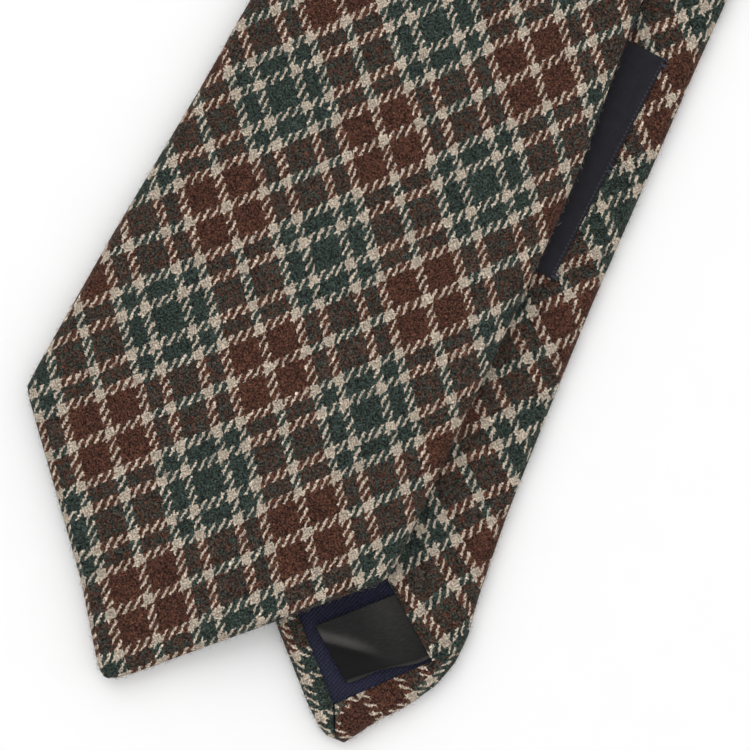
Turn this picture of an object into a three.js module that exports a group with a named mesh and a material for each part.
// A woollen necktie, laid down folded in half at the neck: the front blade lies face up over the tail,
// and the tail shows its back. Millimetres, +Z up, +Y from the tips to the neck fold.
// Each half is described flat, in its own strip coordinates: x across the strip, v along it from the tip,
// z up from its underside. A half's place() bends the strip to where it lies.
import * as THREE from 'three';

// Layers, from the back of the tie to its face
const CLOTH = 0.9;
const CANVAS = 1.1;
const LINING = 0.4;
const GAP = 0.3; // air between pieces that touch
const THICK = 2 * CLOTH + CANVAS + LINING + 3 * GAP;
const LINING_Z = CLOTH + GAP;
const CANVAS_Z = LINING_Z + LINING + GAP;

// Centre-back seam, hems and thread
const SLIT = 0.5; // half the width of the seam's opening
const EDGE_ROUND = 1.2;
const THREAD_HALF = 0.2;
const THREAD_THICK = 0.6;
const BAR_TACK = { aboveWindow: 2, long: 7, wide: 1.2 };
const TACK = { wide: 1.2, long: 2.4, thick: 0.4 };

// Where the halves lie
const BLADE_LENGTH = 735;
const BLADE_TURN = 2; // degrees, towards +X as it goes up
const BLADE_DRIFT = { by: -2, from: 120, to: 180 }; // the blade steps sideways a little up there
const BLADE_BASE = 1.4; // clearance under the blade, which its keeper loop fills
const BLADE_OVER_TAIL = 5.8;
const DRAPE_RUN = 45;
const TAIL_X = 46.1;
const TAIL_Y = 9.2;
const TAIL_TURN = -4;
const TAIL_BEND = 0.0425; // slope gained past the bend
const TAIL_BEND_AT = 60;
const TAIL_BEND_SOFT = 20;
const TAIL_TIP_SKEW = 3; // the tail's point is off its middle

// Neck piece
const BLADE_SEAM = 600;
const TAIL_SEAM = 520;
const SEAM_SLANT = 1;
const SEAM_GAP = 0.5;
const NECK_HALF = 16.5;

// Keeper loop on the blade, maker's label and care label on the tail
const KEEPER = { v: 191, long: 54, wide: 12, thick: 1 };
const MAKER = { x: 0.3, v: 133.4, long: 52, wide: 16.6, thick: 0.5, turn: 3 };
const CARE = { rootFrom: [2.5, 32.4], rootTo: [13.9, 23.4], freeFrom: [-9.9, 20.5], freeTo: [0.1, 12.4] };
const CARE_Z = 3.7;
const RIBBON = 0.35;
const RIBBON_FOLD = 1;

const radians = THREE.MathUtils.degToRad;
const { smoothstep, lerp } = THREE.MathUtils;

// A half outline: [v, x] points joined by straight runs.
const profile = (points) => (v) => {
  if (v <= points[0][0]) return points[0][1];
  for (let i = 1; i < points.length; i += 1) {
    const [v0, x0] = points[i - 1];
    const [v1, x1] = points[i];
    if (v <= v1) return lerp(x0, x1, (v - v0) / (v1 - v0));
  }
  return points[points.length - 1][1];
};

// The kite-shaped window at a tip's back, which shows the lining: between hems at first, then between
// the two side flaps until they meet.
const windowEdge = ({ low, widening, apex, closing }) => (v) =>
  Math.max(SLIT, Math.min((v - low) * widening, (apex - v) * closing));
const windowCorner = ({ low, widening, apex, closing }) =>
  (apex * closing + low * widening) / (widening + closing);

const bladeEdge = profile([
  [0, 2.2], [1.5, 3.2], [44.5, 41.3], [46.4, 42.5], [49, 42.8], [117, 39.6], [143, 38.3], [178, 34.9],
  [300, 29], [450, 22.5], [560, 18.3], [640, 16.8], [BLADE_LENGTH, NECK_HALF],
]);
const tailLeft = profile([
  [0, 0.9], [1.5, -1.5], [4.2, -4.6], [17.4, -17.3], [21.5, -20.2], [26, -20.8], [32, -20.6],
  [57, -18.5], [106, -17], [161, -16.4], [400, -16], [726, -NECK_HALF],
]);
const tailRight = profile([
  [0, 5.1], [6.7, 9.8], [12.3, 14.6], [18.5, 18.5], [24.5, 20.4], [30.5, 20.8], [38.9, 19.7],
  [57, 18.5], [106, 17], [161, 16.4], [400, 16], [726, NECK_HALF],
]);

const bladeWindow = { low: 7.5, widening: 0.923, apex: 75, closing: 1.248 };
const tailWindow = { low: 6.7, widening: 0.966, apex: 35.6, closing: 1.248 };

function tailCentre(v) {
  const past = TAIL_BEND_SOFT * Math.log1p(Math.exp((v - TAIL_BEND_AT) / TAIL_BEND_SOFT));
  return new THREE.Vector2(
    TAIL_X + Math.tan(radians(TAIL_TURN)) * v + TAIL_BEND * past, TAIL_Y + v,
  );
}

function tailTurn(v) {
  const share = 1 / (1 + Math.exp((TAIL_BEND_AT - v) / TAIL_BEND_SOFT));
  return Math.atan(Math.tan(radians(TAIL_TURN)) + TAIL_BEND * share);
}

function placeTail(x, v, z) {
  const centre = tailCentre(v);
  const turn = tailTurn(v);
  return new THREE.Vector3(
    centre.x + x * Math.cos(turn), centre.y - x * Math.sin(turn), THICK - z,
  );
}

function placeBlade(x, v, z) {
  const turn = radians(BLADE_TURN);
  const along = new THREE.Vector2(Math.sin(turn), Math.cos(turn));
  const drift = BLADE_DRIFT.by * smoothstep(v, BLADE_DRIFT.from, BLADE_DRIFT.to);
  const px = along.x * v + along.y * x + drift;
  const py = along.y * v - along.x * x;
  const tailV = py - TAIL_Y;
  const intoTail = px - (tailCentre(tailV).x + tailLeft(tailV));
  const lift = smoothstep(intoTail, -DRAPE_RUN, 0);
  return new THREE.Vector3(px, py, lerp(BLADE_BASE, BLADE_OVER_TAIL, lift) + z);
}

const tailLength = BLADE_LENGTH * Math.cos(radians(BLADE_TURN)) - TAIL_Y;
const noSkew = () => 0;
const tipSkew = (v) => TAIL_TIP_SKEW * Math.max(0, 1 - v / tailWindow.low);

const blade = {
  place: placeBlade, left: (v) => -bladeEdge(v), right: bladeEdge, middle: noSkew,
  window: bladeWindow, length: BLADE_LENGTH, endSlant: Math.tan(radians(BLADE_TURN)),
  flapSteps: 6, faceSteps: 12, // fine enough across to follow the drape
  canvasFrom: 9, liningFrom: 6, liningTo: 95,
};
const tail = {
  place: placeTail, left: tailLeft, right: tailRight, middle: tipSkew,
  window: tailWindow, length: tailLength, endSlant: Math.tan(tailTurn(tailLength)),
  flapSteps: 1, faceSteps: 3, canvasFrom: 9, liningFrom: 5, liningTo: 52,
};

// The turn at the neck: v is the angle round the fold, and the back of the tie is on the inside.
const foldAxis = new THREE.Vector3(0, BLADE_LENGTH * Math.cos(radians(BLADE_TURN)), 0);
foldAxis.x = placeBlade(0, BLADE_LENGTH, 0).x;
foldAxis.z = (THICK + BLADE_OVER_TAIL) / 2;
const foldInner = (BLADE_OVER_TAIL - THICK) / 2;
const fold = {
  place: (x, angle, z) => new THREE.Vector3(
    foldAxis.x + x,
    foldAxis.y + (foldInner + z) * Math.cos(angle),
    foldAxis.z + (foldInner + z) * Math.sin(angle),
  ),
  left: () => -NECK_HALF, right: () => NECK_HALF, middle: noSkew, flapSteps: 1, faceSteps: 2,
};

// A closed solid through a row of sections. A section is a folded strip: a line of outer points and a
// line of inner points opposite them.
function loft(sections) {
  const count = sections[0].outer.length;
  const ring = 2 * count;
  const points = sections.flatMap(({ outer, inner }) => [...outer, ...inner.toReversed()]);
  const faces = [];
  const quad = (a, b, c, d) => faces.push(a, b, c, a, c, d);
  for (let s = 0; s < sections.length - 1; s += 1) {
    for (let k = 0; k < ring; k += 1) {
      const next = (k + 1) % ring;
      quad(s * ring + k, s * ring + next, (s + 1) * ring + next, (s + 1) * ring + k);
    }
  }
  const end = (sections.length - 1) * ring;
  for (let k = 0; k < count - 1; k += 1) {
    quad(k, ring - 1 - k, ring - 2 - k, k + 1);
    quad(end + k, end + k + 1, end + ring - 2 - k, end + ring - 1 - k);
  }
  let volume = 0;
  for (let i = 0; i < faces.length; i += 3) {
    const [a, b, c] = faces.slice(i, i + 3).map((n) => points[n]);
    volume += a.dot(b.clone().cross(c));
  }
  if (volume < 0) faces.reverse();
  const geometry = new THREE.BufferGeometry().setFromPoints(points);
  geometry.setIndex(faces);
  return geometry;
}

const spaced = (from, to, steps) =>
  Array.from({ length: steps + 1 }, (_, i) => lerp(from, to, i / steps));

// Stations along a half: its key places in a range, and steps between them.
function stationsOf(half, from, to, step = 45) {
  const { low, apex } = half.window;
  const keys = [
    1.5, 4.2, low, 12.3, 17.4, 21.5, windowCorner(half.window), 26, 32, apex, 40.5, 44.5, 46.4, 49,
    57, 66, 82, 94, 106, 120, 132, 143, 155, 167, 178, 200,
  ];
  for (let v = 240; v < half.length; v += step) keys.push(v);
  const clearOf = (end) => (end > 240 ? SEAM_SLANT * NECK_HALF + 4 : 1); // a slanted end needs room
  const between = keys.filter((v) => v > from + clearOf(from) && v < to - clearOf(to));
  between.sort((a, b) => a - b);
  const apart = between.filter((v, i) => i === 0 || v - between[i - 1] > 0.8);
  return [from, ...apart, to];
}

// The cloth's section: round both sides from the edge of one back flap to the edge of the other.
function clothSection(half, v, slant, opening) {
  const left = half.left(v);
  const right = half.right(v);
  const middle = half.middle(v);
  const wall = CLOTH + 0.1;
  const outer = [];
  const inner = [];
  const pair = (xo, zo, xi, zi) => {
    outer.push(half.place(xo, v + slant * xo, zo));
    inner.push(half.place(xi, v + slant * xi, zi));
  };
  const run = (fromO, toO, fromI, toI, zo, zi, steps) => {
    for (const share of spaced(0, 1, steps)) {
      pair(lerp(fromO, toO, share), zo, lerp(fromI, toI, share), zi);
    }
  };
  const gapLeft = middle - opening;
  const gapRight = middle + opening;
  run(gapLeft, left + EDGE_ROUND, gapLeft, left + wall, 0, CLOTH, half.flapSteps);
  pair(left, EDGE_ROUND, left + CLOTH, wall);
  pair(left, THICK - EDGE_ROUND, left + CLOTH, THICK - wall);
  run(left + EDGE_ROUND, right - EDGE_ROUND, left + wall, right - wall, THICK, THICK - CLOTH,
    half.faceSteps);
  pair(right, THICK - EDGE_ROUND, right - CLOTH, THICK - wall);
  pair(right, EDGE_ROUND, right - CLOTH, wall);
  run(right - EDGE_ROUND, gapRight, right - wall, gapRight, 0, CLOTH, half.flapSteps);
  return { outer, inner };
}

function cloth(half, from, to, slantFrom, slantTo) {
  const stations = stationsOf(half, from, to);
  return loft(stations.map((v, i) => {
    const slant = { 0: slantFrom, [stations.length - 1]: slantTo }[i] ?? 0;
    return clothSection(half, v, slant, windowEdge(half.window)(v));
  }));
}

// A flat layer inside or on a half, between two z heights.
function layer(half, stations, edges, low, high, steps, slantTo = 0) {
  return loft(stations.map((v, i) => {
    const slant = i === stations.length - 1 ? slantTo : 0;
    const [left, right] = edges(v);
    const across = spaced(left, right, steps);
    return {
      outer: across.map((x) => half.place(x, v + slant * x, low)),
      inner: across.map((x) => half.place(x, v + slant * x, high)),
    };
  }));
}

const INSET = 2.1; // the inner layers stop this far inside the edge
const inside = (half) => (v) => [half.left(v) + INSET, half.right(v) - INSET];

const canvas = (half) => layer(
  half, stationsOf(half, half.canvasFrom, half.length - GAP), inside(half), CANVAS_Z,
  CANVAS_Z + CANVAS, half.faceSteps, half.endSlant,
);

const lining = (half) => layer(
  half, stationsOf(half, half.liningFrom, half.liningTo), inside(half), LINING_Z,
  LINING_Z + LINING, half.faceSteps,
);

const neckShell = (half, seam) =>
  cloth(half, seam + SEAM_GAP, half.length - GAP, SEAM_SLANT, half.endSlant);

const seamThread = (half) => layer(
  half, stationsOf(half, half.window.apex + 4, half.length - GAP, 60),
  () => [-THREAD_HALF, THREAD_HALF], 0.1, 0.1 + THREAD_THICK, 1, half.endSlant,
);

// A short bar on the outside of the back: x and v are its middle.
function bar(half, x, v, long, wide, thick) {
  const edges = () => [x - long / 2, x + long / 2];
  return layer(half, [v - wide / 2, v + wide / 2], edges, -GAP - thick, -GAP, 4);
}

const barTack = (half) => bar(
  half, 0, half.window.apex + BAR_TACK.aboveWindow, BAR_TACK.long, BAR_TACK.wide, THREAD_THICK,
);

function keeperLoop() {
  const edges = () => [-KEEPER.long / 2, KEEPER.long / 2];
  const stations = [KEEPER.v - KEEPER.wide / 2, KEEPER.v + KEEPER.wide / 2];
  return layer(blade, stations, edges, -GAP - KEEPER.thick, -GAP, 10);
}

// A point of the maker's label, from its own middle: a across, b along.
function onMaker(a, b) {
  const turn = radians(MAKER.turn);
  return [
    MAKER.x + a * Math.cos(turn) + b * Math.sin(turn),
    MAKER.v + b * Math.cos(turn) - a * Math.sin(turn),
  ];
}

function makerPatch(a, b, wide, long, thick) {
  const sections = spaced(b - long / 2, b + long / 2, long > MAKER.wide ? 6 : 1).map((along) => {
    const across = spaced(a - wide / 2, a + wide / 2, 2).map((side) => onMaker(side, along));
    return {
      outer: across.map(([x, v]) => tail.place(x, v, -GAP - thick)),
      inner: across.map(([x, v]) => tail.place(x, v, -GAP)),
    };
  });
  return loft(sections);
}

// The care label: a satin ribbon folded in two, its ends caught under the right flap's edge.
function careLabel() {
  const half = RIBBON_FOLD / 2;
  const outline = [
    [0, 0], [0.5, 0], [0.96, 0], [1, half], [0.96, RIBBON_FOLD], [0.5, RIBBON_FOLD], [0, RIBBON_FOLD],
  ];
  const within = [
    [0, RIBBON], [0.5, RIBBON], [0.955, RIBBON], [0.975, half], [0.955, RIBBON_FOLD - RIBBON],
    [0.5, RIBBON_FOLD - RIBBON], [0, RIBBON_FOLD - RIBBON],
  ];
  const sections = spaced(0, 1, 4).map((side) => {
    const at = ([share, z]) => {
      const root = [0, 1].map((i) => lerp(CARE.rootFrom[i], CARE.rootTo[i], side));
      const free = [0, 1].map((i) => lerp(CARE.freeFrom[i], CARE.freeTo[i], side));
      const [x, v] = [0, 1].map((i) => lerp(root[i], free[i], share));
      return tail.place(x, v, THICK - CARE_Z - z);
    };
    return { outer: outline.map(at), inner: within.map(at) };
  });
  return loft(sections);
}

const material = (color, roughness) =>
  new THREE.MeshStandardMaterial({ color, roughness, metalness: 0 });
const wool = material(0x3f332c, 0.95);
const navy = material(0x1a2036, 0.7);
const wadding = material(0xcfc8b6, 1);
const thread = material(0x14161f, 0.6);
const satin = material(0x2b2927, 0.35);
const woven = material(0x1b1c26, 0.6);

const tie = new THREE.Group();
function add(name, geometry, look) {
  const mesh = new THREE.Mesh(geometry, look);
  mesh.name = name;
  tie.add(mesh);
}

const QUARTER = Math.PI / 2;
const roundFold = (section) => loft(spaced(-QUARTER, QUARTER, 12).map(section));

add('tail_shell', cloth(tail, 0, TAIL_SEAM, 0, SEAM_SLANT), wool);
add('tail_interlining', canvas(tail), wadding);
add('tail_tipping', lining(tail), navy);
add('tail_slip_stitch', seamThread(tail), thread);
add('tail_bar_tack', barTack(tail), thread);
add('neck_shell_tail_side', neckShell(tail, TAIL_SEAM), wool);
add('neck_fold_cloth', roundFold((angle) => clothSection(fold, angle, 0, SLIT)), wool);
add('neck_fold_interlining', roundFold((angle) => {
  const across = spaced(INSET - NECK_HALF, NECK_HALF - INSET, 2);
  return {
    outer: across.map((x) => fold.place(x, angle, CANVAS_Z)),
    inner: across.map((x) => fold.place(x, angle, CANVAS_Z + CANVAS)),
  };
}), wadding);
add('maker_label', makerPatch(0, 0, MAKER.wide, MAKER.long, MAKER.thick), woven);
for (const side of [-1, 1]) {
  for (const end of [-1, 0, 1]) {
    const name = `maker_label_tack_${side < 0 ? 'left' : 'right'}_${['low', 'mid', 'high'][end + 1]}`;
    const a = side * (MAKER.wide / 2 + GAP + TACK.wide / 2);
    const b = end * (MAKER.long / 2 - 1);
    add(name, makerPatch(a, b, TACK.wide, TACK.long, TACK.thick), thread);
  }
}

add('blade_shell', cloth(blade, 0, BLADE_SEAM, 0, SEAM_SLANT), wool);
add('blade_interlining', canvas(blade), wadding);
add('blade_tipping', lining(blade), navy);
add('blade_slip_stitch', seamThread(blade), thread);
add('blade_bar_tack', barTack(blade), thread);
add('neck_shell_blade_side', neckShell(blade, BLADE_SEAM), wool);
add('keeper_loop', keeperLoop(), wool);
for (const side of [-1, 1]) {
  const x = side * (KEEPER.long / 2 + GAP + TACK.wide / 2);
  const tack = bar(blade, x, KEEPER.v, TACK.wide, KEEPER.wide - 4, TACK.thick);
  add(`keeper_tack_${side < 0 ? 'left' : 'right'}`, tack, thread);
}

add('care_label', careLabel(), satin);

// The origin is the middle of the base of the box round the whole tie.
const box = new THREE.Box3().setFromObject(tie);
const middle = box.getCenter(new THREE.Vector3());
tie.position.set(-middle.x, -middle.y, -box.min.z);

export default tie;
